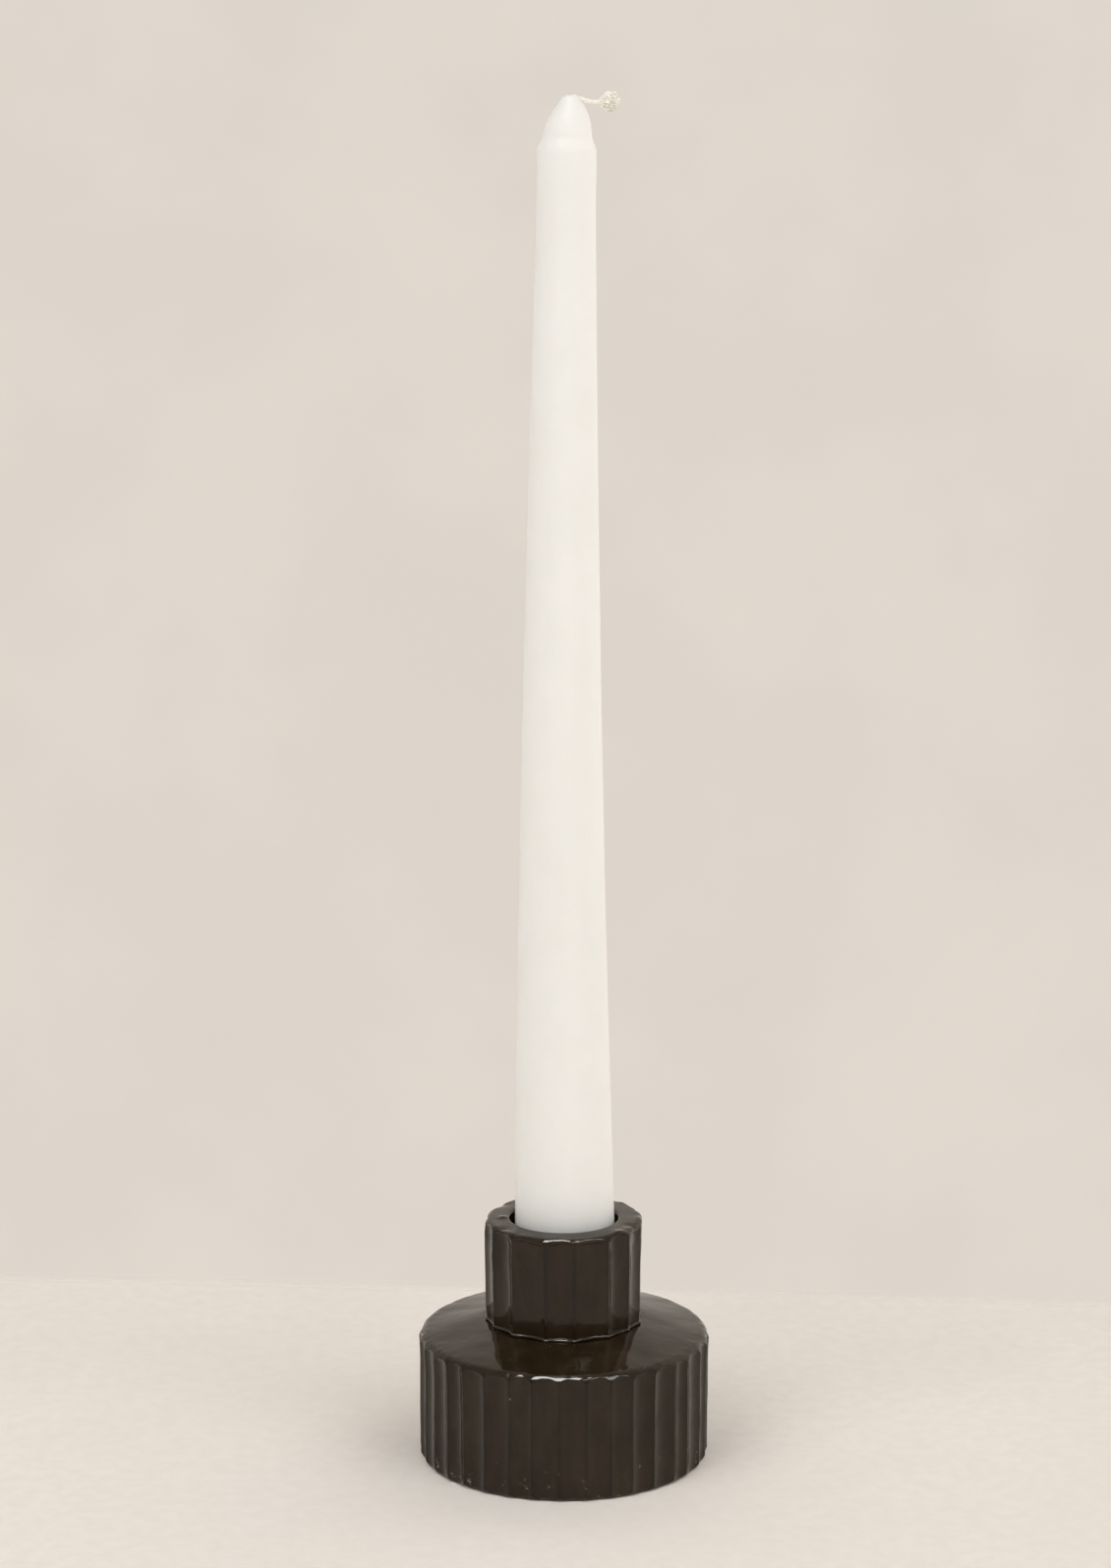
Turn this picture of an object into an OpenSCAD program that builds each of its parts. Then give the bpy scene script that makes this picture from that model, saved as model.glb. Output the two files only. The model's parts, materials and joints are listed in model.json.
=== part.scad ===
// Fluted two-tier candle holder with a taper candle standing in its socket.
// +Z is up, and the origin is the centre of the flat underside, on the surface that it stands on.

/* [Base] */
// Diameter over the ridges between the flutes
base_d = 66.8; // [62:0.2:76]
// Height of the straight wall, below the rounded shoulder
base_wall_h = 27; // [20:0.5:36]
// Radius of the rounded shoulder
shoulder_r = 2.2; // [1.6:0.1:3]
// Slope of the top, in degrees, falling outwards from the collar
top_slope = 12.5; // [6:0.5:16]
// Radius of the rounded foot
foot_r = 1.6; // [1:0.1:2.4]
// Number of flutes
base_flutes = 36; // [28:4:44]
// Depth of each flute at its middle
base_flute_depth = 0.9; // [0.6:0.1:1.2]

/* [Collar] */
// Diameter over the ridges between the flutes
collar_d = 36.4; // [34:0.2:40]
// Height, from the slip under it to its rim
collar_h = 24; // [18:0.2:30]
// Number of flutes
collar_flutes = 16; // [14:1:20]
// Depth of each flute at its middle
collar_flute_depth = 1; // [0.8:0.1:1.6]
// Turn of the first ridge, in degrees
collar_turn = 7.5; // [0:0.5:22]
// Radius of the outer edge of the rim
rim_outer_r = 2.2; // [1:0.1:2.4]
// Radius of the inner edge of the rim
rim_inner_r = 0.8; // [0.6:0.1:1.2]
// Diameter of the candle socket, which runs down to the top of the base
socket_d = 24.8; // [23.4:0.1:25.4]

/* [Slip] */
// Thickness of the slip that bonds the collar to the base
slip_t = 0.4; // [0.2:0.1:0.8]
// Radius of the bead of slip squeezed out round the collar's foot
bead_r = 1.1; // [0.8:0.1:1.3]

/* [Candle] */
// Diameter of the straight foot
candle_d = 22.4; // [20:0.2:22.4]
// Length of the wax, from its foot to its tip
candle_len = 276.6; // [200:0.2:300]
// Length of the straight foot
candle_foot_h = 25; // [20:1:60]
// Diameter at the top of the taper
candle_top_d = 13; // [11.5:0.1:15]
// Height of the straight neck between the taper and the tip
candle_neck_h = 17; // [5:1:30]
// Height of the chamfer between the neck and the milled tip
tip_step_h = 1.6; // [1:0.1:4]
// Height of the milled tip
tip_h = 8.8; // [6:0.1:12]
// Diameter of the milled tip at its foot
tip_d = 10.9; // [8:0.1:11]

/* [Wick] */
// Diameter of the braided wick
wick_d = 1.2; // [1:0.1:1.5]

/* [Hidden] */

base_r = base_d / 2;
collar_r = collar_d / 2;
socket_r = socket_d / 2;
wick_r = wick_d / 2;

// Where the shoulder's arc is centred, and where the sloping top runs into it.
shoulder_c = [base_r - shoulder_r, base_wall_h];
shoulder_t = shoulder_c + shoulder_r * [sin(top_slope), cos(top_slope)];
// The flat seat under the collar, a little wider than the bead of slip.
seat_r = collar_r + 0.6;
seat_h = shoulder_t[1] + (shoulder_t[0] - seat_r) * tan(top_slope);
collar_z = seat_h + slip_t;

// Ridge left between neighbouring flutes, measured along the wall.
ridge_w = 0.4;
flute_over = 1;

candle_r = candle_d / 2;
candle_top_r = candle_top_d / 2;
candle_foot_chamfer = 0.8;
tip_flat_r = 2.4;
tip_power = 1.9;
tip_steps = 10;

// The wick's bare end starts just above the wax and lies over towards +X.
wick_gap = 0.35;
wick_foot_gap = 1;
wick_pivot_z = seat_h + candle_len + wick_gap + wick_r;
wick_sides = 10;
// Route of the bare end, from the point that it turns about, in x and z.
wick_route = [[0, 0], [0.8, 0.15], [1.6, 0.15], [2.6, -0.05], [3.8, -0.45], [5.1, -0.85],
              [6.4, -1.05], [7.7, -1.05], [9, -0.85], [10.2, -0.5], [11.4, 0]];

curve_fn = 96;

// Round grooves cut into the outside of a round wall of radius r.
module flutes(count, r, depth, h) {
    half_angle = 180 / count - asin(ridge_w / 2 / r);
    half_chord = r * sin(half_angle);
    sagitta = depth - r * (1 - cos(half_angle));
    groove_r = (half_chord * half_chord + sagitta * sagitta) / (2 * sagitta);
    for (i = [0 : count - 1])
        rotate(360 * (i + 0.5) / count)
            translate([r - depth + groove_r, 0, -flute_over])
                cylinder(r = groove_r, h = h + 2 * flute_over, $fn = curve_fn);
}

module base_profile() {
    polygon([[0, 0], [base_r - foot_r, 0], [base_r - foot_r, foot_r], [base_r, foot_r],
             [base_r, base_wall_h], shoulder_c, shoulder_t, [seat_r, seat_h], [0, seat_h]]);
    translate([base_r - foot_r, foot_r]) circle(r = foot_r, $fn = curve_fn);
    translate(shoulder_c) circle(r = shoulder_r, $fn = curve_fn);
}

module base_solid() {
    difference() {
        rotate_extrude($fn = curve_fn * 2) base_profile();
        flutes(base_flutes, base_r, base_flute_depth, seat_h);
    }
}

module collar_profile() {
    outer_x = collar_r - rim_outer_r;
    inner_x = socket_r + rim_inner_r;
    polygon([[socket_r, 0], [collar_r, 0], [collar_r, collar_h - rim_outer_r],
             [outer_x, collar_h - rim_outer_r], [outer_x, collar_h], [inner_x, collar_h],
             [inner_x, collar_h - rim_inner_r], [socket_r, collar_h - rim_inner_r]]);
    translate([outer_x, collar_h - rim_outer_r]) circle(r = rim_outer_r, $fn = curve_fn);
    translate([inner_x, collar_h - rim_inner_r]) circle(r = rim_inner_r, $fn = curve_fn);
}

module collar_solid() {
    translate([0, 0, collar_z]) rotate(collar_turn) difference() {
        rotate_extrude($fn = curve_fn * 2) collar_profile();
        flutes(collar_flutes, collar_r, collar_flute_depth, collar_h);
    }
}

module base() {
    color([0.16, 0.13, 0.11]) base_solid();
}

module collar() {
    color([0.16, 0.13, 0.11]) collar_solid();
}

// Thin bonding layer under the collar, with the bead that it leaves round the foot.
module slip_bead() {
    layer_r = collar_r - collar_flute_depth;
    color([0.12, 0.10, 0.08]) difference() {
        union() {
            translate([0, 0, seat_h]) cylinder(r = layer_r, h = slip_t, $fn = curve_fn);
            rotate_extrude($fn = curve_fn * 2)
                translate([collar_r - bead_r / 2, seat_h + slip_t / 2])
                    circle(r = bead_r, $fn = curve_fn);
        }
        translate([0, 0, seat_h - flute_over])
            cylinder(r = socket_r, h = slip_t + 2 * flute_over, $fn = curve_fn);
        collar_solid();
        base_solid();
    }
}

// Radius of the milled tip, from its foot (0) to its blunt top (1).
function tip_radius(t) = tip_flat_r + (tip_d / 2 - tip_flat_r) * (1 - pow(t, tip_power));

module candle_profile() {
    tip_z = candle_len - tip_h;
    step_z = tip_z - tip_step_h;
    polygon([[wick_r, 0], [candle_r - candle_foot_chamfer, 0], [candle_r, candle_foot_chamfer],
             [candle_r, candle_foot_h], [candle_top_r, step_z - candle_neck_h],
             [candle_top_r, step_z],
             for (i = [0 : tip_steps]) [tip_radius(i / tip_steps), tip_z + tip_h * i / tip_steps],
             [wick_r, candle_len]]);
}

module candle() {
    color([0.94, 0.92, 0.87])
        translate([0, 0, seat_h])
            rotate_extrude($fn = curve_fn) candle_profile();
}

// The run of wick inside the wax, from near the foot to level with the tip.
module wick() {
    color([0.93, 0.90, 0.80])
        translate([0, 0, seat_h + wick_foot_gap])
            cylinder(r = wick_r, h = candle_len - wick_foot_gap, $fn = curve_fn / 2);
}

// Direction of the bare end's route at point i, in degrees from +X.
function route_angle(i) =
    let (a = wick_route[max(i - 1, 0)], b = wick_route[min(i + 1, len(wick_route) - 1)])
    atan2(b[1] - a[1], b[0] - a[0]);

// One ring of the tube round point i of the route.
function route_ring(i) = [
    for (k = [0 : wick_sides - 1])
        let (turn = 360 * k / wick_sides, up = route_angle(i) + 90)
        [wick_route[i][0] + wick_r * cos(turn) * cos(up), wick_r * sin(turn),
         wick_route[i][1] + wick_r * cos(turn) * sin(up)]
];

module wick_tube() {
    rings = len(wick_route);
    points = [for (i = [0 : rings - 1]) each route_ring(i)];
    sides = [
        for (i = [0 : rings - 2], k = [0 : wick_sides - 1])
            let (n = (k + 1) % wick_sides, low = i * wick_sides, high = low + wick_sides)
            [low + k, low + n, high + n, high + k]
    ];
    first = [for (k = [wick_sides - 1 : -1 : 0]) k];
    last = [for (k = [0 : wick_sides - 1]) (rings - 1) * wick_sides + k];
    polyhedron(points, concat(sides, [first, last]), convexity = 4);
}

// The bare end of the wick, with a round root to turn about.
module wick_end() {
    color([0.93, 0.90, 0.80]) translate([0, 0, wick_pivot_z]) {
        wick_tube();
        sphere(r = wick_r, $fn = curve_fn / 2);
    }
}

base();
collar();
slip_bead();
candle();
wick();
wick_end();
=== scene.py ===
"""Looks of the fluted candle holder and its taper candle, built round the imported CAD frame.

Lengths are in metres, in the CAD frame: +Z up, the origin under the middle of the base, and -Y
the front.
"""

import json

import bpy
import numpy as np
from mathutils import Euler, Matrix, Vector


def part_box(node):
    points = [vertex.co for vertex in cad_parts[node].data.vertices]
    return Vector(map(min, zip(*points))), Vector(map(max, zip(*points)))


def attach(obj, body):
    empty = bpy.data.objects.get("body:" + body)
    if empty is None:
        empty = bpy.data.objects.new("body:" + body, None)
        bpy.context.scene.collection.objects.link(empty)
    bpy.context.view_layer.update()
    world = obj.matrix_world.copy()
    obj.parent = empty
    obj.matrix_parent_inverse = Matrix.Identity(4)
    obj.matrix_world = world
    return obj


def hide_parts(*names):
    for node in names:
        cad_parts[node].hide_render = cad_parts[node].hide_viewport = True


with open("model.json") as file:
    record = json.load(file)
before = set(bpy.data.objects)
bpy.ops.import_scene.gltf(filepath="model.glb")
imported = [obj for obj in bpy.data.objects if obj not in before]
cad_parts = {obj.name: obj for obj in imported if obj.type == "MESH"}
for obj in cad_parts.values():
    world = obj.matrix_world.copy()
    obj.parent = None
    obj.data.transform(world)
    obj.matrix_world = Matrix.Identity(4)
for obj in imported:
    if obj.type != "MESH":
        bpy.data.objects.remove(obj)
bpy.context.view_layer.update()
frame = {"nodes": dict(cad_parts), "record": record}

MM = 0.001
FULL_TURN = 2 * np.pi
FRONT = 1.5 * np.pi  # the polar angle of -Y, which faces the camera


# ---------------------------------------------------------------- node trees

class Tree:
    """Short calls for building a node tree."""

    def __init__(self, tree):
        self.tree = tree

    def add(self, kind, **settings):
        node = self.tree.nodes.new(kind)
        for key, value in settings.items():
            setattr(node, key, value)
        return node

    def link(self, source, socket):
        self.tree.links.new(source, socket)

    def spread(self, value, low, high, to_low=0.0, to_high=1.0):
        """value, mapped smoothly from low..high to to_low..to_high."""
        node = self.add("ShaderNodeMapRange", interpolation_type="SMOOTHSTEP")
        for key, number in zip(("From Min", "From Max", "To Min", "To Max"),
                               (low, high, to_low, to_high)):
            node.inputs[key].default_value = number
        self.link(value, node.inputs["Value"])
        return node.outputs["Result"]

    def maths(self, operation, a, b):
        node = self.add("ShaderNodeMath", operation=operation)
        for socket, value in zip(node.inputs, (a, b)):
            if isinstance(value, (int, float)):
                socket.default_value = value
            else:
                self.link(value, socket)
        return node.outputs["Value"]

    def mix(self, factor, a, b):
        """Colour a where factor is 0 and b where it is 1; each is a colour or a socket."""
        node = self.add("ShaderNodeMix", data_type="RGBA")
        self.link(factor, node.inputs["Factor"])
        for key, value in (("A", a), ("B", b)):
            socket = [s for s in node.inputs if s.name == key and s.type == "RGBA"][0]
            if isinstance(value, tuple):
                socket.default_value = (*value, 1)
            else:
                self.link(value, socket)
        return [s for s in node.outputs if s.type == "RGBA"][0]


class Nodes(Tree):
    """Short calls for building one material's node tree round a Principled shader."""

    def __init__(self, name):
        self.material = bpy.data.materials.new(name)
        self.material.use_nodes = True
        super().__init__(self.material.node_tree)
        self.shader = self.tree.nodes["Principled BSDF"]
        self.place = self.add("ShaderNodeTexCoord").outputs["Object"]

    def noise(self, scale, detail=4, roughness=0.5, stretch=None):
        node = self.add("ShaderNodeTexNoise")
        node.inputs["Scale"].default_value = scale
        node.inputs["Detail"].default_value = detail
        node.inputs["Roughness"].default_value = roughness
        self.link(self.stretched(stretch), node.inputs["Vector"])
        return node.outputs["Fac"]

    def rare_dots(self, scale, size, channel, share, stretch=None):
        """Dots in few of a pattern's cells: those whose random colour channel is past share.

        size is the distance from a cell's middle at which a dot has ended, then the one up to
        which it is full, as parts of a cell.
        """
        cells = self.add("ShaderNodeTexVoronoi")
        cells.inputs["Scale"].default_value = scale
        self.link(self.stretched(stretch), cells.inputs["Vector"])
        colour = self.add("ShaderNodeSeparateColor")
        self.link(cells.outputs["Color"], colour.inputs["Color"])
        return self.maths("MULTIPLY", self.spread(cells.outputs["Distance"], *size),
                          self.spread(colour.outputs[channel], *share))

    def stretched(self, stretch):
        if stretch is None:
            return self.place
        node = self.add("ShaderNodeMapping")
        node.inputs["Scale"].default_value = stretch
        self.link(self.place, node.inputs["Vector"])
        return node.outputs["Vector"]

    def attribute(self, name):
        return self.add("ShaderNodeAttribute", attribute_name=name).outputs["Fac"]

    def bump(self, height, strength, distance, under=None):
        node = self.add("ShaderNodeBump")
        node.inputs["Strength"].default_value = strength
        node.inputs["Distance"].default_value = distance
        self.link(height, node.inputs["Height"])
        if under is not None:
            self.link(under, node.inputs["Normal"])
        return node.outputs["Normal"]

    def finish(self, colour, normal, constants):
        """Link the colour and the bump, and set the constants on the shader's own sockets."""
        self.link(colour, self.shader.inputs["Base Color"])
        self.link(normal, self.shader.inputs["Normal"])
        for name, value in constants.items():
            self.shader.inputs[name].default_value = value
        return self.material


# ---------------------------------------------------------------- camera and light

LIGHT_AIM = (0, 0, 0.1)
WINDOW_COLOUR = (1.0, 0.99, 0.97)
FILL_COLOUR = (1.0, 0.98, 0.95)
# Name, place, width, height, power in watts, colour, and whether only highlights show it.
LIGHTS = (
    ("key", (-0.165, -0.4, 1.28), 0.61, 0.98, 52.5, WINDOW_COLOUR, True),
    ("far_window", (0.62, -0.5, 1.15), 0.4, 0.6, 7, WINDOW_COLOUR, True),
    ("fill_left", (-0.95, -1.05, 1.35), 1.2, 1.2, 10.9, FILL_COLOUR, False),
    ("fill_right", (1.0, -1.0, 1.35), 1.2, 1.2, 8.1, FILL_COLOUR, False),
)
WALL_COLOUR = (0.735, 0.675, 0.605)
ROOM_COLOUR = (0.43, 0.42, 0.395)
RIGHT_GAIN = 1.5  # how much lighter the room and the wall are at the far right


def add_camera():
    """Looks along +Y and a little down, as a person stands before a shelf."""
    data = bpy.data.cameras.new("camera")
    data.sensor_width = 36
    data.lens = 86.8
    data.clip_start = 0.05
    data.clip_end = 50
    camera = bpy.data.objects.new("camera", data)
    pitch_down = np.radians(10.95)
    camera.location = (-0.0019, -0.8338, 0.3188)
    camera.rotation_euler = Euler((np.pi / 2 - pitch_down, 0, 0))
    bpy.context.scene.collection.objects.link(camera)
    bpy.context.scene.camera = camera


def add_softbox(name, place, width, height, power, colour, glossy):
    """A soft rectangular light, either seen only as a highlight or giving only plain light."""
    data = bpy.data.lights.new(name, "AREA")
    data.shape = "RECTANGLE"
    data.size = width
    data.size_y = height
    data.energy = power
    data.color = colour
    light = bpy.data.objects.new(name, data)
    light.location = place
    aim = Vector(LIGHT_AIM) - Vector(place)
    light.rotation_euler = aim.to_track_quat("-Z", "Y").to_euler()
    light.visible_glossy = glossy
    light.visible_diffuse = not glossy
    light.visible_transmission = not glossy
    bpy.context.scene.collection.objects.link(light)


def add_world():
    """A pale wall behind the object and a dimmer room before it, both lighter towards +X.

    The wall is what is seen as the background from every side: the room only gives light.
    """
    world = bpy.data.worlds.new("soft_room")
    world.use_nodes = True
    n = Tree(world.node_tree)
    background = n.tree.nodes["Background"]
    place = n.add("ShaderNodeTexCoord").outputs["Generated"]
    seen = n.add("ShaderNodeLightPath").outputs["Is Camera Ray"]
    split = n.add("ShaderNodeSeparateXYZ")
    n.link(place, split.inputs["Vector"])
    x, y = split.outputs["X"], split.outputs["Y"]
    wider = n.maths("ADD", y, n.spread(x, 0, 1, 0, 0.32))
    behind = n.spread(wider, 0.25, 0.47)  # the wall comes further forward on the right
    n.link(n.mix(n.maths("MAXIMUM", behind, seen), ROOM_COLOUR, WALL_COLOUR),
           background.inputs["Color"])
    plaster = n.add("ShaderNodeTexNoise")
    plaster.inputs["Scale"].default_value = 16
    plaster.inputs["Detail"].default_value = 5
    n.link(place, plaster.inputs["Vector"])
    right = n.maths("SUBTRACT", x, seen)  # never to the right where it is seen
    strength = n.maths("MULTIPLY", n.spread(plaster.outputs["Fac"], 0.3, 0.7, 0.975, 1.025),
                       n.spread(right, 0.2, 0.7, 1, RIGHT_GAIN))
    n.link(strength, background.inputs["Strength"])
    bpy.context.scene.world = world


# ---------------------------------------------------------------- small tools

def wave_noise(points, wavelength, seed, count=24):
    """Smooth noise of about -1 to 1 at each point: a sum of waves in seeded directions."""
    rng = np.random.default_rng(seed)
    directions = rng.normal(size=(count, 3))
    directions /= np.linalg.norm(directions, axis=1, keepdims=True)
    pitch = FULL_TURN / wavelength * rng.uniform(0.7, 1.4, count)
    phase = rng.uniform(0, FULL_TURN, count)
    waves = np.cos(points @ (directions * pitch[:, None]).T + phase)
    return waves.sum(axis=-1) / np.sqrt(count / 2) / 2


def smooth_step(low, high, x):
    t = np.clip((x - low) / (high - low), 0, 1)
    return t * t * (3 - 2 * t)


def soft_positive(x, softness):
    """x where it is well above 0, 0 where it is well below, and smooth between."""
    return (x + np.sqrt(x * x + softness * softness)) / 2


def spread(low, high, count):
    return np.linspace(low, high, count, endpoint=False)


def add_mesh(name, verts, faces):
    mesh = bpy.data.meshes.new(name)
    mesh.from_pydata([tuple(v) for v in verts], [], faces)
    mesh.update()
    mesh.polygons.foreach_set("use_smooth", [True] * len(mesh.polygons))
    piece = bpy.data.objects.new(name, mesh)
    bpy.context.scene.collection.objects.link(piece)
    return piece


def add_attribute(piece, name, values):
    layer = piece.data.attributes.new(name, "FLOAT", "POINT")
    layer.data.foreach_set("value", np.asarray(values, np.float32).ravel())


def turned_points(angles, r, z):
    """Points at radii r and heights z, with one column of them at each polar angle."""
    a = np.asarray(angles)[:, None]
    return np.stack([r * np.cos(a), r * np.sin(a), 0 * a + z], axis=-1)


def ring_points(angles, radius):
    return turned_points(angles, radius, 0)[:, 0]


def add_turned(name, points, ends=None):
    """A closed skin over columns of points that stand round an axis.

    Each column is closed in itself, or runs between the two ends, which are points on the axis.
    """
    columns, rows = points.shape[:2]
    verts = points.reshape(-1, 3)
    faces = []
    for c in range(columns):
        here, there = c * rows, (c + 1) % columns * rows
        for k in range(rows if ends is None else rows - 1):
            n = (k + 1) % rows
            faces.append((here + k, there + k, there + n, here + n))
    if ends is not None:
        below, above = len(verts), len(verts) + 1
        verts = np.vstack([verts, ends])
        for c in range(columns):
            here, there = c * rows, (c + 1) % columns * rows
            faces.append((below, there, here))
            faces.append((above, here + rows - 1, there + rows - 1))
    return add_mesh(name, verts, faces)


def curve_points(start, control, end, count):
    """Points on a quadratic curve, leaving out its end, for outlines with a soft corner."""
    t = spread(0, 1, count)[:, None]
    start, control, end = (np.asarray(p, float) for p in (start, control, end))
    return (1 - t) ** 2 * start + 2 * t * (1 - t) * control + t * t * end


def line_points(start, end, count):
    t = spread(0, 1, count)[:, None]
    return (1 - t) * np.asarray(start, float) + t * np.asarray(end, float)


# ---------------------------------------------------------------- fluting

FLUTE_POWER = 2.1  # 2 is a round groove, and more is one with a flatter floor
FLUTE_SPAN = 0.965  # the part of the way between two ridges that the groove takes
RIDGE_SOFTNESS = 0.16 * MM


class Fluting:
    """Hand-cut concave flutes round a wall: where the ridges stand, and how deep each flute is."""

    def __init__(self, ridge_angles, depth, depth_spread, seed):
        self.ridges = np.sort(np.asarray(ridge_angles) % FULL_TURN)
        count = len(self.ridges)
        rng = np.random.default_rng(seed)
        self.depths = depth * rng.uniform(1 - depth_spread, 1 + depth_spread, count)

    def columns(self, per_flute):
        """Polar angles, closer together at the ridges, with a column on every ridge."""
        u = spread(0, 1, per_flute)
        u = u - 0.11 * np.sin(FULL_TURN * u)
        nexts = np.append(self.ridges[1:], self.ridges[0] + FULL_TURN)
        return np.concatenate([a + u * (b - a) for a, b in zip(self.ridges, nexts)])

    def depth_at(self, angle):
        """Depth of the groove at a polar angle, and how close the angle is to a ridge, 0 to 1."""
        angle = (angle - self.ridges[0]) % FULL_TURN + self.ridges[0]
        i = np.searchsorted(self.ridges, angle, side="right") - 1
        low = self.ridges[i]
        high = self.ridges[i + 1] if i + 1 < len(self.ridges) else self.ridges[0] + FULL_TURN
        across = abs(2 * (angle - low) / (high - low) - 1)
        groove = self.depths[i] * (1 - (across / FLUTE_SPAN) ** FLUTE_POWER)
        return soft_positive(groove, RIDGE_SOFTNESS), across ** 8


# ---------------------------------------------------------------- dimensions from the frame

base_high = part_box("base")[1]
collar_low, collar_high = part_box("collar")
candle_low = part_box("candle")[0]

BASE_R = base_high.x
SEAT_Z = base_high.z
COLLAR_R = collar_high.x
COLLAR_Z = collar_low.z
RIM_Z = collar_high.z
CANDLE_Z = candle_low.z

# Sizes that the boxes don't give.
SOCKET_R = 12.4 * MM
SHOULDER_R = 2.6 * MM
FOOT_R = 1.6 * MM
COLLAR_FOOT_R = 1.1 * MM
TOP_SLOPE = np.radians(12.5)
WALL_H = 27 * MM
SEAT_R = COLLAR_R + 0.6 * MM
RIM_OUTER_R = 1.55 * MM
RIM_INNER_R = 0.6 * MM
RIM_FALL = 0.1 * MM  # how much lower the rim is at its outer edge than round the candle


# ---------------------------------------------------------------- outlines of the fluted pieces

BEAD_START = 0.05  # how far up the top edge's arc the bead of glaze starts, in radians
BEAD_WRAP = 0.6  # how far the bead wraps under itself, in radians
BEAD_GAP = 0.45 * MM  # how far under the bead the wall starts to curve out to it


def arc(centre, radius, start, end, count):
    turn = spread(start, end, count)
    return np.asarray(centre) + radius * np.stack([np.cos(turn), np.sin(turn)], axis=-1)


def fluted_side(wall_r, foot, top, lip_r, undercut, wall_rows, arc_rows):
    """Outline up a fluted wall, from a rounded foot to a rounded top edge.

    foot and top are (centre, radius, outer end) of the arcs that the wall cuts into. At the top of
    a flute a bead of glaze, lip_r in radius, hangs a little over the wall. undercut is how far the
    lowest part of the wall draws in, and over what height.
    """
    (foot_c, foot_r, foot_end), (top_c, top_r, top_end) = foot, top
    depth = top_c[0] + top_r - wall_r
    full = smooth_step(0.1 * MM, 0.5 * MM, depth)
    draw, draw_h = undercut
    foot_wall_r = min(wall_r, foot_c[0] + foot_r) - draw
    low = -np.arccos(np.clip((foot_wall_r - foot_c[0]) / foot_r, -1, 1))
    high = np.arccos(np.clip((wall_r - top_c[0]) / top_r, -1, 1)) + BEAD_START
    start = foot_c + foot_r * np.array([np.cos(low), np.sin(low)])
    facing = np.array([np.cos(high), np.sin(high)])
    lip_c = top_c + (top_r - lip_r) * facing
    lip_end = -BEAD_WRAP * full
    under = lip_c + lip_r * np.array([np.cos(lip_end), np.sin(lip_end)])
    wall_top = np.array([wall_r, under[1] - BEAD_GAP])
    wall = line_points(start, wall_top, wall_rows)
    rise = np.clip((wall[:, 1] - start[1]) / draw_h, 0, 1)
    wall[:, 0] = wall_r - (wall_r - foot_wall_r) * (1 - rise) ** 2
    return np.vstack([
        arc(foot_c, foot_r, foot_end, low, 8),
        wall,
        curve_points(wall_top, (wall_r, under[1] - 0.08 * MM), under, 6),
        arc(lip_c, lip_r, lip_end, high, 10),
        arc(top_c, top_r, high, top_end, arc_rows),
    ])


def base_outline(wall_r, lip_r):
    """One section of the base, from under its middle, up the wall and over the top."""
    foot = (np.array([BASE_R - FOOT_R, FOOT_R]), FOOT_R, -np.pi / 2)
    top = (np.array([BASE_R - SHOULDER_R, WALL_H]), SHOULDER_R, np.pi / 2 - TOP_SLOPE)
    slope_start = top[0] + SHOULDER_R * np.array([np.sin(TOP_SLOPE), np.cos(TOP_SLOPE)])
    return np.vstack([
        line_points((2 * MM, 0), (BASE_R - FOOT_R, 0), 6),
        fluted_side(wall_r, foot, top, lip_r, (0, 1), 44, 12),
        line_points(slope_start, (SEAT_R, SEAT_Z), 26),
        line_points((SEAT_R, SEAT_Z), (1 * MM, SEAT_Z), 9),
    ])


def collar_outline(wall_r, lip_r):
    """One closed section of the collar: up the outside, over the rim, down the socket."""
    foot_c = np.array([COLLAR_R - COLLAR_FOOT_R, COLLAR_Z + COLLAR_FOOT_R])
    foot_turn = -1.1
    foot_end = foot_c + COLLAR_FOOT_R * np.array([np.cos(foot_turn), np.sin(foot_turn)])
    top_c = np.array([COLLAR_R - RIM_OUTER_R, RIM_Z - RIM_FALL - RIM_OUTER_R])
    top_turn = np.pi / 2 - 0.04
    slope_start = top_c + RIM_OUTER_R * np.array([np.cos(top_turn), np.sin(top_turn)])
    inner = np.array([SOCKET_R + RIM_INNER_R, RIM_Z - RIM_INNER_R])
    foot = (foot_c, COLLAR_FOOT_R, foot_turn)
    top = (top_c, RIM_OUTER_R, top_turn)
    return np.vstack([
        fluted_side(wall_r, foot, top, lip_r, (0.3 * MM, 5.5 * MM), 42, 12),
        line_points(slope_start, inner + [0, RIM_INNER_R], 10),
        arc(inner, RIM_INNER_R, np.pi / 2, np.pi, 8),
        line_points((SOCKET_R, inner[1]), (SOCKET_R, foot_end[1]), 16),
        line_points((SOCKET_R, foot_end[1]), foot_end, 8),
    ])


def fluted_outlines(fluting, per_flute, radius, outline, lip_seed):
    """Polar angles, an outline at each of them, and how close each is to a ridge, 0 to 1."""
    angles = fluting.columns(per_flute)
    outlines, ridges = [], []
    for a, lip_r in zip(angles, lip_radii(angles, radius, lip_seed)):
        depth, ridge = fluting.depth_at(a)
        outlines.append(outline(radius - depth, lip_r))
        ridges.append(ridge)
    return angles, np.array(outlines), ridges


def lip_radii(angles, radius, seed):
    """Radius of the bead of glaze along the tops of the flutes, thicker in some places."""
    ring = ring_points(angles, radius)
    uneven = 0.7 * wave_noise(ring, 9 * MM, seed) + 0.3 * wave_noise(ring, 2 * MM, seed + 1)
    return (0.68 + 0.24 * uneven) * MM


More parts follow.
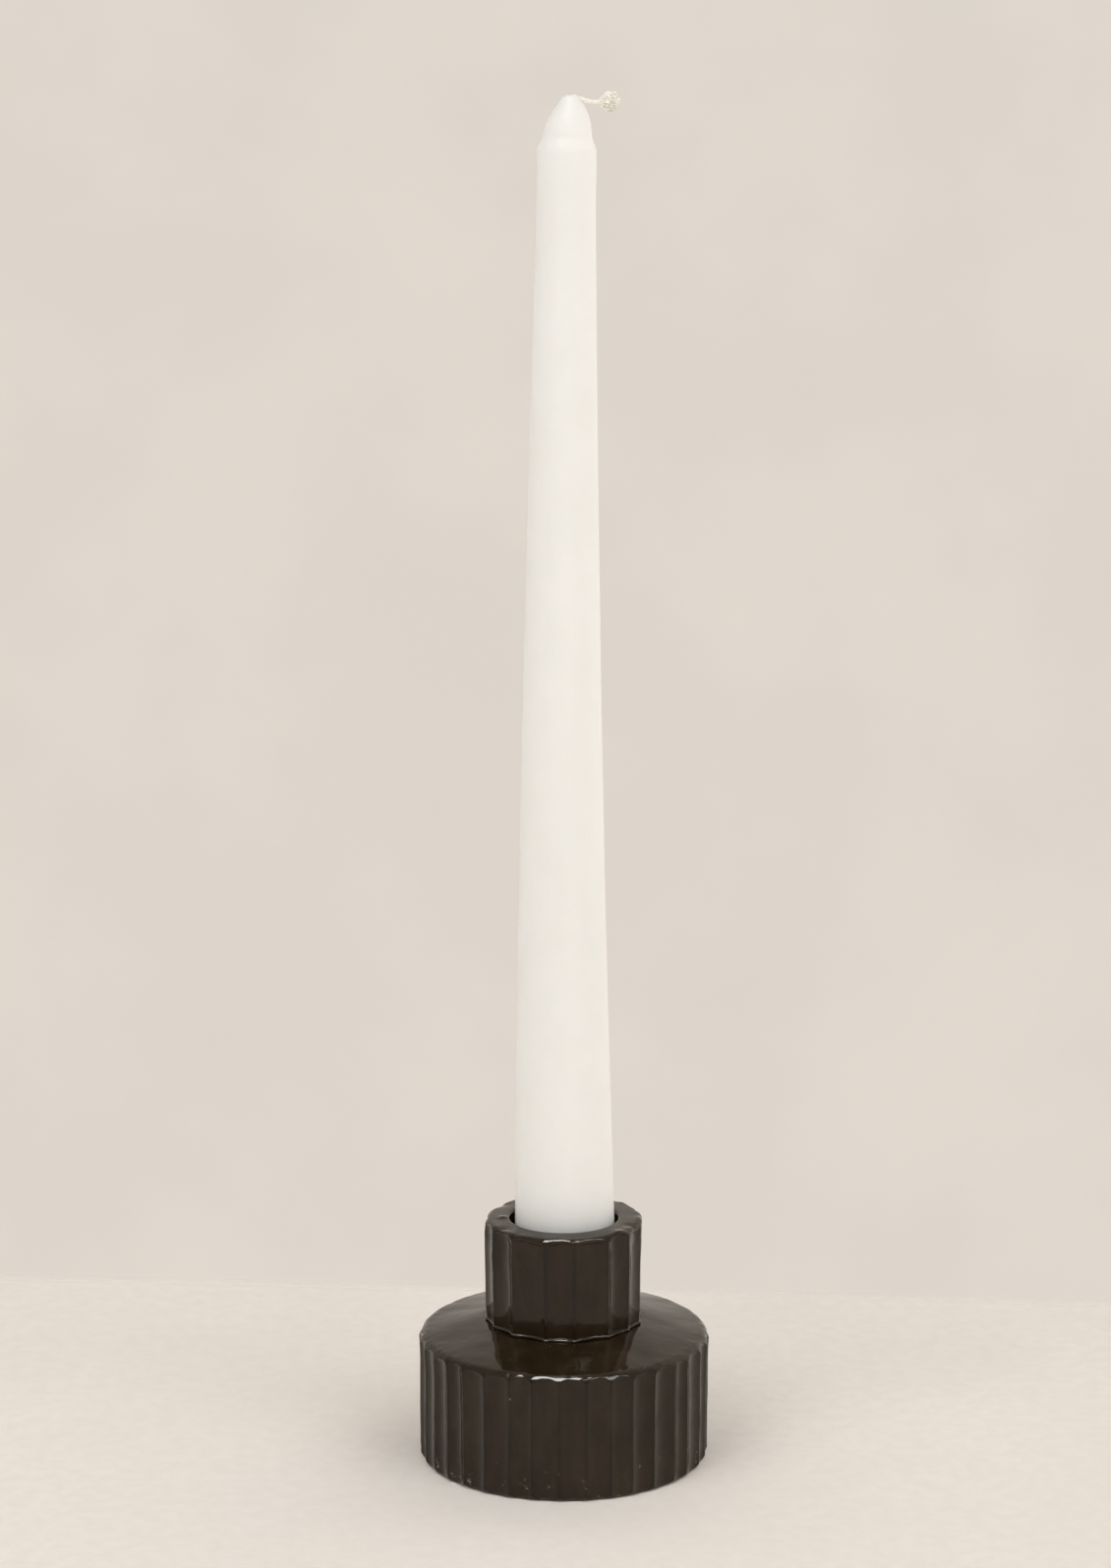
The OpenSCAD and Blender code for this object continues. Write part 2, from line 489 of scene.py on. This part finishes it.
def hand_shape(outlines, angles, seed):
    """Slight unevenness of a hand-cast wall and top: none at the foot or inside the socket."""
    r, z = outlines[..., 0], outlines[..., 1]
    points = turned_points(angles, r, z)
    slow = wave_noise(points, 26 * MM, seed)
    middle = wave_noise(points, 7 * MM, seed + 1)
    fast = wave_noise(points, 2.6 * MM, seed + 3)
    rise = wave_noise(points, 17 * MM, seed + 2)
    up = z / z.max()
    free = smooth_step(0, 2.5 * MM, z) * smooth_step(SOCKET_R, SOCKET_R + 2 * MM, r)
    bulge = 0.22 * np.exp(-(((up - 0.9) / 0.12) ** 2))
    fine = 0.007 + 0.025 * smooth_step(0.84, 0.92, up)
    outlines[..., 0] = r + free * (bulge + 0.13 * slow + 0.05 * middle + fine * fast) * MM
    high = free * smooth_step(0.72, 0.9, up)
    fine = 0.004 + 0.03 * smooth_step(0.86, 0.96, r / r.max())
    outlines[..., 1] = z + high * (0.14 * rise + 0.03 * middle + fine * fast) * MM


def press_lumps(outlines, angles, lumps):
    """Raise or dent a piece in places: angle from the front, radius and height, rise and width."""
    points = turned_points(angles, outlines[..., 0], outlines[..., 1])
    for turn, at_r, at_z, out, up, width in lumps:
        centre = ring_points([FRONT + np.radians(turn)], at_r * MM)[0] + [0, 0, at_z]
        near = np.exp(-((np.linalg.norm(points - centre, axis=-1) / (width * MM)) ** 2))
        outlines[..., 0] += out * MM * near
        outlines[..., 1] += up * MM * near


def mark_glaze(piece, outlines, ridges):
    """Vertex values for the glaze: near a ridge for painted shade, at the wiped foot, and low on
    the wall.
    """
    r, z = outlines[..., 0], outlines[..., 1]
    wall = smooth_step(0.93, 0.97, r / r.max())
    # edge: how near a ridge of the wall, where the glaze paints shade.
    edge = np.asarray(ridges)[:, None] * wall
    foot = 1 - smooth_step(0, 0.5 * MM, z)
    scuff = (1 - smooth_step(2 * MM, 11 * MM, z)) * wall
    ends = len(piece.data.vertices) - r.size
    for name, values in (("edge", edge), ("foot", foot), ("scuff", scuff)):
        add_attribute(piece, name, np.append(values.ravel(), [0] * ends))


# ---------------------------------------------------------------- base

BASE_FLUTES = 36


def make_base():
    even = FRONT + np.radians(-2) + spread(0, FULL_TURN, BASE_FLUTES)
    stray = np.random.default_rng(7).uniform(-0.9, 0.9, BASE_FLUTES)
    fluting = Fluting(even + np.radians(stray), 0.85 * MM, 0.15, 3)
    angles, outlines, ridges = fluted_outlines(fluting, 20, BASE_R, base_outline, 41)
    hand_shape(outlines, angles, 11)
    r, z = outlines[..., 0], outlines[..., 1]
    ends = [(0, 0, z[:, 0].mean()), (0, 0, z[:, -1].mean())]
    piece = add_turned("base_drum", turned_points(angles, r, z), ends)
    mark_glaze(piece, outlines, ridges)
    return piece


# ---------------------------------------------------------------- collar and slip

# How far each of the collar's hand-cut ridges strays from its even place, in degrees.
COLLAR_STRAY = (0, 4, 3, 0.5, 2, -2, 1, 3, -1, -3, 2, 0, -2, -3.5, -3, 1.5)
# How deep each flute is cut, from the one between the first two ridges on.
COLLAR_DEPTHS = (1, 1.12, 0.72, 0.9, 1.1, 1, 0.95, 1.1, 1, 0.9, 1.05, 1, 0.95, 1.2, 1, 1.05)


def collar_ridges():
    even = np.radians(7.5) + spread(0, FULL_TURN, len(COLLAR_STRAY))
    return FRONT + even + np.radians(COLLAR_STRAY)


def collar_fluting():
    fluting = Fluting(collar_ridges(), 1.02 * MM, 0.04, 5)
    first = np.argmin(abs(fluting.ridges - collar_ridges()[0] % FULL_TURN))
    fluting.depths *= np.roll(COLLAR_DEPTHS, first)
    return fluting


# Where the hand-made rim is uneven: angle from the front in degrees, radius in mm, height, then
# how far it stands out and up, and its width, in mm.
RIM_LUMPS = (
    (-86, 14.0, RIM_Z, 0.1, 0.3, 1.0),
    (-70, 17.4, RIM_Z - 1.6 * MM, 0.3, 0.15, 1.1),
    (-56, 16.6, RIM_Z - 0.4 * MM, 0.1, -0.35, 1.3),
    (-44, 17.5, RIM_Z - 1.4 * MM, 0.28, 0.1, 0.9),
    (-22, 17.4, RIM_Z - 1.2 * MM, 0.05, -0.15, 1.5),
    (30, 17.6, RIM_Z - 1.0 * MM, 0.12, -0.1, 1.1),
    (47, 17.3, RIM_Z - 0.8 * MM, 0.2, 0.4, 1.6),
    (66, 16.5, RIM_Z - 0.3 * MM, -0.1, -0.3, 1.6),
    (84, 17.7, RIM_Z - 1.2 * MM, 0.35, 0.2, 1.6),
    (128, 17.3, RIM_Z - 1.0 * MM, 0.2, 0.25, 1.4),
    (170, 17.5, RIM_Z - 1.2 * MM, 0.2, -0.2, 1.8),
    (-122, 17.6, RIM_Z - 0.6 * MM, -0.35, -0.25, 2.0),
    (-150, 16.8, RIM_Z - 0.6 * MM, 0.1, -0.25, 1.6),
)


def make_collar():
    angles, outlines, ridges = fluted_outlines(collar_fluting(), 40, COLLAR_R, collar_outline, 61)
    hand_shape(outlines, angles, 31)
    press_lumps(outlines, angles, RIM_LUMPS)
    points = turned_points(angles, outlines[..., 0], outlines[..., 1])
    piece = add_turned("collar_ring", points)
    mark_glaze(piece, outlines, ridges)
    return piece


def make_slip():
    """The thin line of slip at the collar's foot: it follows the flutes and stands out as a lip."""
    fluting = collar_fluting()
    angles = fluting.columns(30)
    low_z, high_z = SEAT_Z - 0.3 * MM, COLLAR_Z + 0.9 * MM
    inside_r, inside_z = SOCKET_R + 0.6 * MM, COLLAR_Z + 0.1 * MM
    ring = ring_points(angles, COLLAR_R)
    reach = 0.16 + 0.2 * wave_noise(ring, 9 * MM, 51) + 0.09 * wave_noise(ring, 2.5 * MM, 52)
    lift = 0.14 * wave_noise(ring, 7 * MM, 53) + 0.07 * wave_noise(ring, 2 * MM, 54)
    lip_r = 0.33 * MM
    outlines = []
    for a, out, up in zip(angles, reach, lift):
        wall = COLLAR_R - 0.85 * fluting.depth_at(a)[0]
        lip = np.array([wall + out * MM - lip_r, SEAT_Z + (0.42 + up) * MM])
        crest = lip + [0, lip_r]
        tail = lip - [0, lip_r]
        outlines.append(np.vstack([
            curve_points((wall - 0.9 * MM, high_z), (wall - 0.6 * MM, crest[1]), crest, 8),
            arc(lip, lip_r, np.pi / 2, -np.pi / 2, 10),
            curve_points(tail, tail - [0.4 * MM, 0.05 * MM], (wall - 0.7 * MM, low_z), 4),
            line_points((wall - 0.7 * MM, low_z), (inside_r, low_z), 3),
            line_points((inside_r, low_z), (inside_r, inside_z), 2),
            line_points((inside_r, inside_z), (wall - 0.9 * MM, high_z), 3),
        ]))
    outlines = np.array(outlines)
    return add_turned("slip_line", turned_points(angles, outlines[..., 0], outlines[..., 1]))


# ---------------------------------------------------------------- candle

WAX_FOOT_R = 11.4 * MM
WAX_FOOT_EDGE = 0.9 * MM  # how far in from the side the foot's worn edge starts
WAX_FOOT_RISE = 0.7 * MM  # and how far up it ends
WAX_NECK_R = 6.52 * MM
TAPER_START = 57 * MM
NECK_START = 281 * MM
TIP_STEP_LOW = 298.2 * MM
TIP_STEP_HIGH = 300.7 * MM
TIP_R = 5.36 * MM
TIP_FLAT_R = 2.0 * MM
TIP_TOP = 309.2 * MM
CROWN_RISE = 0.5 * MM  # wax drawn up round the root of the wick
CROWN_R = 0.8 * MM
WEAR = 0.33 * MM  # how far the corners of the milled tip are worn round


def wax_profile(z):
    """Radius of the candle at a height, with sharp corners."""
    taper = (z - TAPER_START) / (NECK_START - TAPER_START)
    r = WAX_FOOT_R + (WAX_NECK_R - WAX_FOOT_R) * soft_clip(taper, 0.02)
    chamfer = np.clip((z - TIP_STEP_LOW) / (TIP_STEP_HIGH - TIP_STEP_LOW), 0, 1)
    t = np.clip((z - TIP_STEP_HIGH) / (TIP_TOP - TIP_STEP_HIGH), 0, 1)
    tip = TIP_FLAT_R + (TIP_R - TIP_FLAT_R) * (1 - t ** 1.8)
    return np.where(z > TIP_STEP_HIGH, tip, r + (TIP_R - r) * chamfer)


def wax_radius(z):
    """Radius of the candle at a height, with the corners of its milled tip worn round."""
    offsets = np.linspace(-2, 2, 9)
    weights = np.exp(-(offsets ** 2) / 2)
    weights /= weights.sum()
    return sum(w * wax_profile(z + WEAR * o) for w, o in zip(weights, offsets))


def soft_clip(t, softness):
    """t held between 0 and 1, with soft ends."""
    return soft_positive(t, softness) - soft_positive(t - 1, softness)


def wax_lean(z):
    """Sideways place of the candle's middle at a height: cast tapers are never quite straight."""
    t = np.clip((z - RIM_Z) / (TIP_TOP - RIM_Z), 0, 1)
    slump = smooth_step(TIP_STEP_LOW, TIP_TOP + 3 * MM, z)
    return (0.2 + 0.45 * t - 0.85 * np.sin(np.pi * t ** 0.85) + 0.95 * slump) * MM


def candle_outline():
    """Radii and heights from the middle of the foot, up the side, to the middle of the top."""
    side_z = CANDLE_Z + WAX_FOOT_RISE
    plain_z = side_z + 3 * MM
    fine_low, fine_high = TIP_STEP_LOW - 4 * MM, TIP_STEP_HIGH + 1.5 * MM
    heights = np.concatenate([
        side_z + spread(0, 1, 6) * 3 * MM,
        spread(plain_z, fine_low, 180),
        spread(fine_low, fine_high, 44),
        spread(fine_high, TIP_TOP, 48),
    ])
    foot_r = WAX_FOOT_R - WAX_FOOT_EDGE
    crown_z = TIP_TOP + CROWN_RISE
    return np.vstack([
        line_points((1 * MM, CANDLE_Z), (foot_r, CANDLE_Z), 8),
        curve_points((foot_r, CANDLE_Z), (WAX_FOOT_R, CANDLE_Z), (WAX_FOOT_R, side_z), 6),
        np.stack([wax_radius(heights), heights], axis=-1),
        curve_points((TIP_FLAT_R, TIP_TOP), (TIP_FLAT_R - 0.35 * MM, crown_z),
                     (CROWN_R, crown_z), 8),
        [(CROWN_R, crown_z), (0.2 * MM, crown_z)],
    ])


def make_candle():
    r, z = candle_outline().T
    points = turned_points(spread(0, FULL_TURN, 128), r, z)
    ripple = wave_noise(points * [1, 1, 0.35], 14 * MM, 71)
    fine = wave_noise(points * [1, 1, 0.3], 4 * MM, 72)
    uneven = smooth_step(2 * MM, 6 * MM, r) * (0.05 * ripple + 0.012 * fine) * MM
    points[..., :2] *= (1 + uneven / np.maximum(r, 1 * MM))[..., None]
    tip = smooth_step(TIP_TOP - 2.5 * MM, TIP_TOP + 0.4 * MM, z)
    points *= 1 + 0.02 * (tip * wave_noise(points, 3 * MM, 73))[..., None] * [1, 1, 0]
    points[..., 0] += wax_lean(z)
    nick_wax(points)
    return add_turned("candle_wax", points, [(0, 0, CANDLE_Z), (wax_lean(z[-1]), 0, z[-1])])


# Dents from handling: height and width in mm, angle from the front in degrees, depth in mm.
DENTS = (
    (294.3, 1.0, -84, 0.45),
    (298.0, 1.6, 78, 0.2),
    (206.0, 2.2, -30, 0.07),
    (128.0, 3.0, 35, 0.06),
    (262.0, 2.4, 150, 0.1),
    (170.0, 2.8, 200, 0.12),
)


def nick_wax(points):
    """Press the dents in, each along the way that it faces."""
    for height, width, turn, depth in DENTS:
        z = np.array(height * MM)
        outward = ring_points([FRONT + np.radians(turn)], 1)[0]
        centre = wax_radius(z) * outward + [wax_lean(z), 0, z]
        away = np.linalg.norm(points - centre, axis=-1)
        press = depth * MM * np.exp(-((away / (width * MM)) ** 2) * 2)
        points -= press[..., None] * outward


# ---------------------------------------------------------------- wick

PIVOT = np.array(next(joint["pos_m"] for joint in frame["record"]["behaviour"]["joints"]
                      if joint["name"] == "wick_bend"))
# Route of the bare end, in mm from the point that it turns about, in x and z, as in the CAD.
WICK_ROUTE = ((0, 0), (0.8, 0.15), (1.6, 0.15), (2.6, -0.05), (3.8, -0.45), (5.1, -0.85),
              (6.4, -1.05), (7.7, -1.05), (9, -0.85), (10.2, -0.5), (11.4, 0))
PLIES = 3
PLY_R = 0.33 * MM
PLY_OFF = 0.22  # in mm, how far each ply's middle lies off the wick's
PLY_TURNS = 2.6
PLIES_END = 0.88  # the part of the route that the plies take
BALL_CENTRE = (10.65, 0, -1.2)  # of the frayed ball, in mm from the point that the wick turns about
BALL_CORE_R = 1.62 * MM
BALL_TUBES = 620  # the core and the fibres
FIBRE_POINTS = 9


def smooth_route(points, count):
    """A Catmull-Rom curve through the points, in metres."""
    p = np.array([(x, 0, z) for x, z in points], float) * MM
    p = np.vstack([2 * p[0] - p[1], p, 2 * p[-1] - p[-2]])
    t = np.linspace(0, len(points) - 1 - 1e-9, count)
    i = t.astype(int)
    f = (t - i)[:, None]
    a, b, c, d = p[i], p[i + 1], p[i + 2], p[i + 3]
    return 0.5 * (2 * b + (c - a) * f + (2 * a - 5 * b + 4 * c - d) * f ** 2
                  + (3 * b - a - 3 * c + d) * f ** 3)


def along_path(path, reference):
    """At each point of a path, its direction and two directions across it."""
    tangents = np.gradient(path, axis=0)
    tangents /= np.linalg.norm(tangents, axis=1, keepdims=True)
    side = np.cross(tangents, reference)
    side /= np.linalg.norm(side, axis=1, keepdims=True)
    return tangents, side, np.cross(side, tangents)


def tube(path, radii, sides):
    """Vertices and faces of a closed tube along a path, tapering with radii."""
    _, side, up = along_path(path, [0.1, 1, 0.05])
    turn = spread(0, FULL_TURN, sides)
    rings = (path[:, None, :] + radii[:, None, None]
             * (side[:, None, :] * np.cos(turn)[None, :, None]
                + up[:, None, :] * np.sin(turn)[None, :, None]))
    verts = [tuple(v) for v in rings.reshape(-1, 3)]
    faces = []
    for k in range(len(path) - 1):
        for s in range(sides):
            n = (s + 1) % sides
            faces.append((k * sides + s, (k + 1) * sides + s, (k + 1) * sides + n, k * sides + n))
    faces.append(tuple(range(sides)))
    faces.append(tuple(len(verts) - sides + s for s in reversed(range(sides))))
    return verts, faces


def join_tubes(name, tubes):
    verts, faces = [], []
    for v, f in tubes:
        start = len(verts)
        verts += v
        faces += [tuple(i + start for i in face) for face in f]
    return add_mesh(name, verts, faces)


def make_wick_end():
    """Three soft plies laid round each other along the route, opening into a round frayed ball."""
    path = smooth_route(WICK_ROUTE, 120)
    sink = 0.3 + 0.45 * smooth_step(2.4 * MM, 0.6 * MM, path[:, 0])  # the root lies in the wax
    path += PIVOT - np.outer(sink, [0, 0, MM])
    tangents, side, up = along_path(path, [0, 1, 0])
    count = int(PLIES_END * len(path))
    along = np.linspace(0, 1, len(path))[:count]
    radii = PLY_R + 0.06 * MM * smooth_step(0.2, 0, along)
    tubes = []
    for ply in range(PLIES):
        angle = (FULL_TURN * (PLY_TURNS * along + ply / PLIES))[:, None]
        off = PLY_OFF * (side[:count] * np.cos(angle) + up[:count] * np.sin(angle))
        tubes.append(tube(path[:count] + off * MM, radii, 12))
    tubes += frayed_ball(path, tangents)
    return join_tubes("wick_braid", tubes)


def frayed_ball(path, tangents):
    """Cotton fibres opening out of the plies, round a core, into a soft ball about 4 mm across."""
    rng = np.random.default_rng(17)
    last = len(path) - 1
    centre = PIVOT + np.array(BALL_CENTRE) * MM
    core = centre + np.linspace(-1.25, 1.35, 12)[:, None] * MM * tangents[int(0.75 * last)]
    core_radii = BALL_CORE_R * np.sin(np.linspace(0.2, np.pi - 0.2, 12)) ** 0.6
    fibre_radii = np.linspace(0.17, 0.11, FIBRE_POINTS) * MM
    tubes = [tube(core, core_radii, 16)]
    while len(tubes) < BALL_TUBES:
        away = rng.normal(size=3)
        away /= np.linalg.norm(away)
        if away[0] < -0.7:  # back along the plies
            continue
        start = int(rng.uniform(0.7, 0.84) * last)
        root = path[start] + rng.normal(size=3) * 0.16 * MM
        end = centre + away * rng.uniform(1.6, 2.0) * MM
        bow = away * [0, 1, 1] * 1.45 * MM + rng.normal(size=3) * 0.25 * MM
        fibre = curve_points(root, (root + end) / 2 + bow, end, FIBRE_POINTS)
        tubes.append(tube(fibre, fibre_radii, 5))
    return tubes


# ---------------------------------------------------------------- materials

# Painted shade, near black inside the pinholes.
PINHOLE_PAINTED_SHADE = (0.003, 0.002, 0.002)
# Painted shade, darkening the ridges of the fluted walls.
RIDGE_PAINTED_SHADE = (0.007, 0.0045, 0.0025)
SPECK_COLOUR = (0.22, 0.19, 0.16)
SCUFF_COLOUR = (0.24, 0.2, 0.17)
WIPED_COLOUR = (0.09, 0.06, 0.045)


def glaze_material(name, dark, warm, thin, rough_low, rough_high):
    """Dark brown glossy glaze: painted shade darkest on the ridges and pinholes; pale specks, wiped
    feet.
    """
    n = Nodes(name)
    cloud = n.noise(90, 5, 0.6)
    grain = n.noise(1400, 3, 0.6)
    streak = n.noise(220, 4, 0.6, stretch=(1, 1, 0.25))
    # Pinholes: real pits in the bump and the roughness, painted near black as the shade inside
    # them.
    pit_and_shade = n.rare_dots(330, (0.16, 0.05), "Red", (0.96, 0.97))
    speck = n.rare_dots(260, (0.085, 0.03), "Green", (0.94, 0.96), stretch=(1.3, 1, 0.9))
    # Painted shade: the wall darkens towards each ridge, less where the streaks are strong.
    ridge = n.maths("MULTIPLY", n.attribute("edge"), n.spread(streak, 0.35, 0.7, 0.8, 0.4))
    scuff = n.maths("MULTIPLY", n.attribute("scuff"), n.spread(n.noise(340, 7, 0.75), 0.6, 0.68))
    foot = n.maths("MULTIPLY", n.attribute("foot"), n.spread(n.noise(400), 0.35, 0.6, 0.6, 1.0))

    colour = n.mix(n.spread(cloud, 0.35, 0.7), dark, warm)
    colour = n.mix(n.spread(streak, 0.4, 0.75, 0.0, 0.25), colour, thin)
    for where, shade in ((ridge, RIDGE_PAINTED_SHADE), (pit_and_shade, PINHOLE_PAINTED_SHADE), (speck, SPECK_COLOUR),
                         (scuff, SCUFF_COLOUR), (foot, WIPED_COLOUR)):
        colour = n.mix(where, colour, shade)

    rough = n.spread(streak, 0.3, 0.75, rough_low, rough_high)
    for where, rise in ((foot, 0.4), (pit_and_shade, 0.3)):
        rough = n.maths("ADD", rough, n.maths("MULTIPLY", where, rise))
    n.link(rough, n.shader.inputs["Roughness"])

    normal = n.bump(cloud, 0.12, 0.0006)
    normal = n.bump(grain, 0.05, 0.0001, normal)
    normal = n.bump(n.maths("MULTIPLY", pit_and_shade, -1), 0.5, 0.0002, normal)
    return n.finish(colour, normal, {"IOR": 1.5, "Specular IOR Level": 0.27})


def wax_material():
    """Ivory stearin: light goes into it, and its satin skin has a faint bloom and drawn streaks."""
    n = Nodes("candle_wax")
    bloom = n.noise(60, 5, 0.6)
    streak = n.noise(260, 4, 0.6, stretch=(1, 1, 0.03))
    mottle = n.noise(700, 3, 0.5)
    speck = n.rare_dots(90, (0.035, 0.012), "Blue", (0.95, 0.97), stretch=(1, 1, 0.7))
    colour = n.mix(n.spread(bloom, 0.3, 0.7), (0.885, 0.888, 0.868), (0.91, 0.913, 0.9))
    colour = n.mix(n.spread(streak, 0.45, 0.8, 0.0, 0.35), colour, (0.93, 0.92, 0.91))
    colour = n.mix(speck, colour, (0.16, 0.12, 0.09))
    n.link(n.spread(mottle, 0.3, 0.75, 0.34, 0.5), n.shader.inputs["Roughness"])
    normal = n.bump(streak, 0.12, 0.0003)
    normal = n.bump(mottle, 0.08, 0.0001, normal)
    return n.finish(colour, normal, {
        "Subsurface Weight": 0.8,
        "Subsurface Radius": (1.0, 0.92, 0.86),
        "Subsurface Scale": 0.012,
        "IOR": 1.44,
        "Specular IOR Level": 0.06,
    })


def cotton_material():
    """Bleached cotton thread, stained here and there."""
    n = Nodes("cotton_wick")
    fibre = n.noise(2600, 4, 0.6, stretch=(0.25, 1, 1))
    stain = n.noise(420, 3, 0.5)
    colour = n.mix(n.spread(fibre, 0.3, 0.7), (0.965, 0.925, 0.84), (0.98, 0.96, 0.9))
    colour = n.mix(n.spread(stain, 0.55, 0.75, 0.0, 0.25), colour, (0.86, 0.79, 0.68))
    normal = n.bump(fibre, 0.25, 0.0001)
    return n.finish(colour, normal, {"Roughness": 0.75, "Specular IOR Level": 0.1})


# ---------------------------------------------------------------- floor

CLOTH_BACK = 117 * MM  # how far behind the object's middle the cloth ends
CLOTH_SLANT = 0.07  # how far the far edge comes forward, for each step to the right
FLOOR_HALF = 2.5
FLOOR_STEPS = 160


def floor_material():
    """Pale brushed cotton, with a soft far edge, thinning out at the sides into the pale room."""
    n = Nodes("floor_cloth")
    nap = n.noise(1100, 5, 0.65)
    tuft = n.noise(260, 4, 0.6)
    cloud = n.noise(11, 4, 0.55)
    colour = n.mix(n.spread(tuft, 0.3, 0.7), (0.89, 0.845, 0.81), (0.925, 0.88, 0.85))
    colour = n.mix(n.spread(cloud, 0.35, 0.7, 0.0, 0.4), colour, (0.87, 0.82, 0.775))
    radius = n.add("ShaderNodeVectorMath", operation="LENGTH")
    n.link(n.place, radius.inputs[0])
    split = n.add("ShaderNodeSeparateXYZ")
    n.link(n.place, split.inputs["Vector"])
    slant = n.maths("MULTIPLY", split.outputs["X"], CLOTH_SLANT)
    back = n.spread(n.maths("ADD", slant, split.outputs["Y"]),
                    CLOTH_BACK - 5 * MM, CLOTH_BACK + 4 * MM, 1.0, 0.0)
    sides = n.spread(radius.outputs["Value"], 0.7, 2.4, 1.0, 0.0)
    n.link(n.maths("MULTIPLY", back, sides), n.shader.inputs["Alpha"])
    normal = n.bump(nap, 0.2, 0.0003, n.bump(tuft, 0.2, 0.0008))
    return n.finish(colour, normal, {"Roughness": 0.95, "Specular IOR Level": 0.0})


def dress(piece, material):
    piece.data.materials.clear()
    piece.data.materials.append(material)


def add_floor():
    """A cloth with slow folds too low to see edge on, lying just under the base."""
    even = np.linspace(-1, 1, FLOOR_STEPS)
    axis = np.sign(even) * np.abs(even) ** 2.2 * FLOOR_HALF  # closer together near the object
    x, y = np.meshgrid(axis, axis, indexing="ij")
    points = np.stack([x, y, 0 * x], axis=-1).reshape(-1, 3)
    away = np.linalg.norm(points, axis=1)
    points[:, 2] = (wave_noise(points, 0.16, 91) - 1) * 0.0007 * smooth_step(0.045, 0.2, away)
    points[:, 2] -= 0.00005
    faces = []
    for i in range(FLOOR_STEPS - 1):
        for j in range(FLOOR_STEPS - 1):
            k = i * FLOOR_STEPS + j
            faces.append((k, k + FLOOR_STEPS, k + FLOOR_STEPS + 1, k + 1))
    floor = add_mesh("floor", points, faces)
    dress(floor, floor_material())


# ---------------------------------------------------------------- build

def build():
    add_camera()
    add_world()
    for light in LIGHTS:
        add_softbox(*light)
    add_floor()

    glaze = glaze_material("dark_glaze", (0.018, 0.011, 0.0048), (0.027, 0.017, 0.0085),
                           (0.058, 0.041, 0.026), 0.05, 0.14)
    slip_glaze = glaze_material("slip_glaze", (0.028, 0.02, 0.013), (0.042, 0.03, 0.021),
                                (0.09, 0.07, 0.052), 0.2, 0.32)
    wax, cotton = wax_material(), cotton_material()
    for make, material, body, slot, node in (
        (make_base, glaze, "holder", "dark_glaze", "base"),
        (make_collar, glaze, "holder", "dark_glaze", "collar"),
        (make_slip, slip_glaze, "holder", "slip", "slip_bead"),
        (make_candle, wax, "candle", "wax", "candle"),
        (make_wick_end, cotton, "wick_end", "cotton", "wick_end"),
    ):
        piece = make()
        dress(piece, material)
        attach(piece, body)
        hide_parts(node)
    dress(frame["nodes"]["wick"], cotton)
    bpy.context.scene.view_settings.view_transform = "Standard"


build()
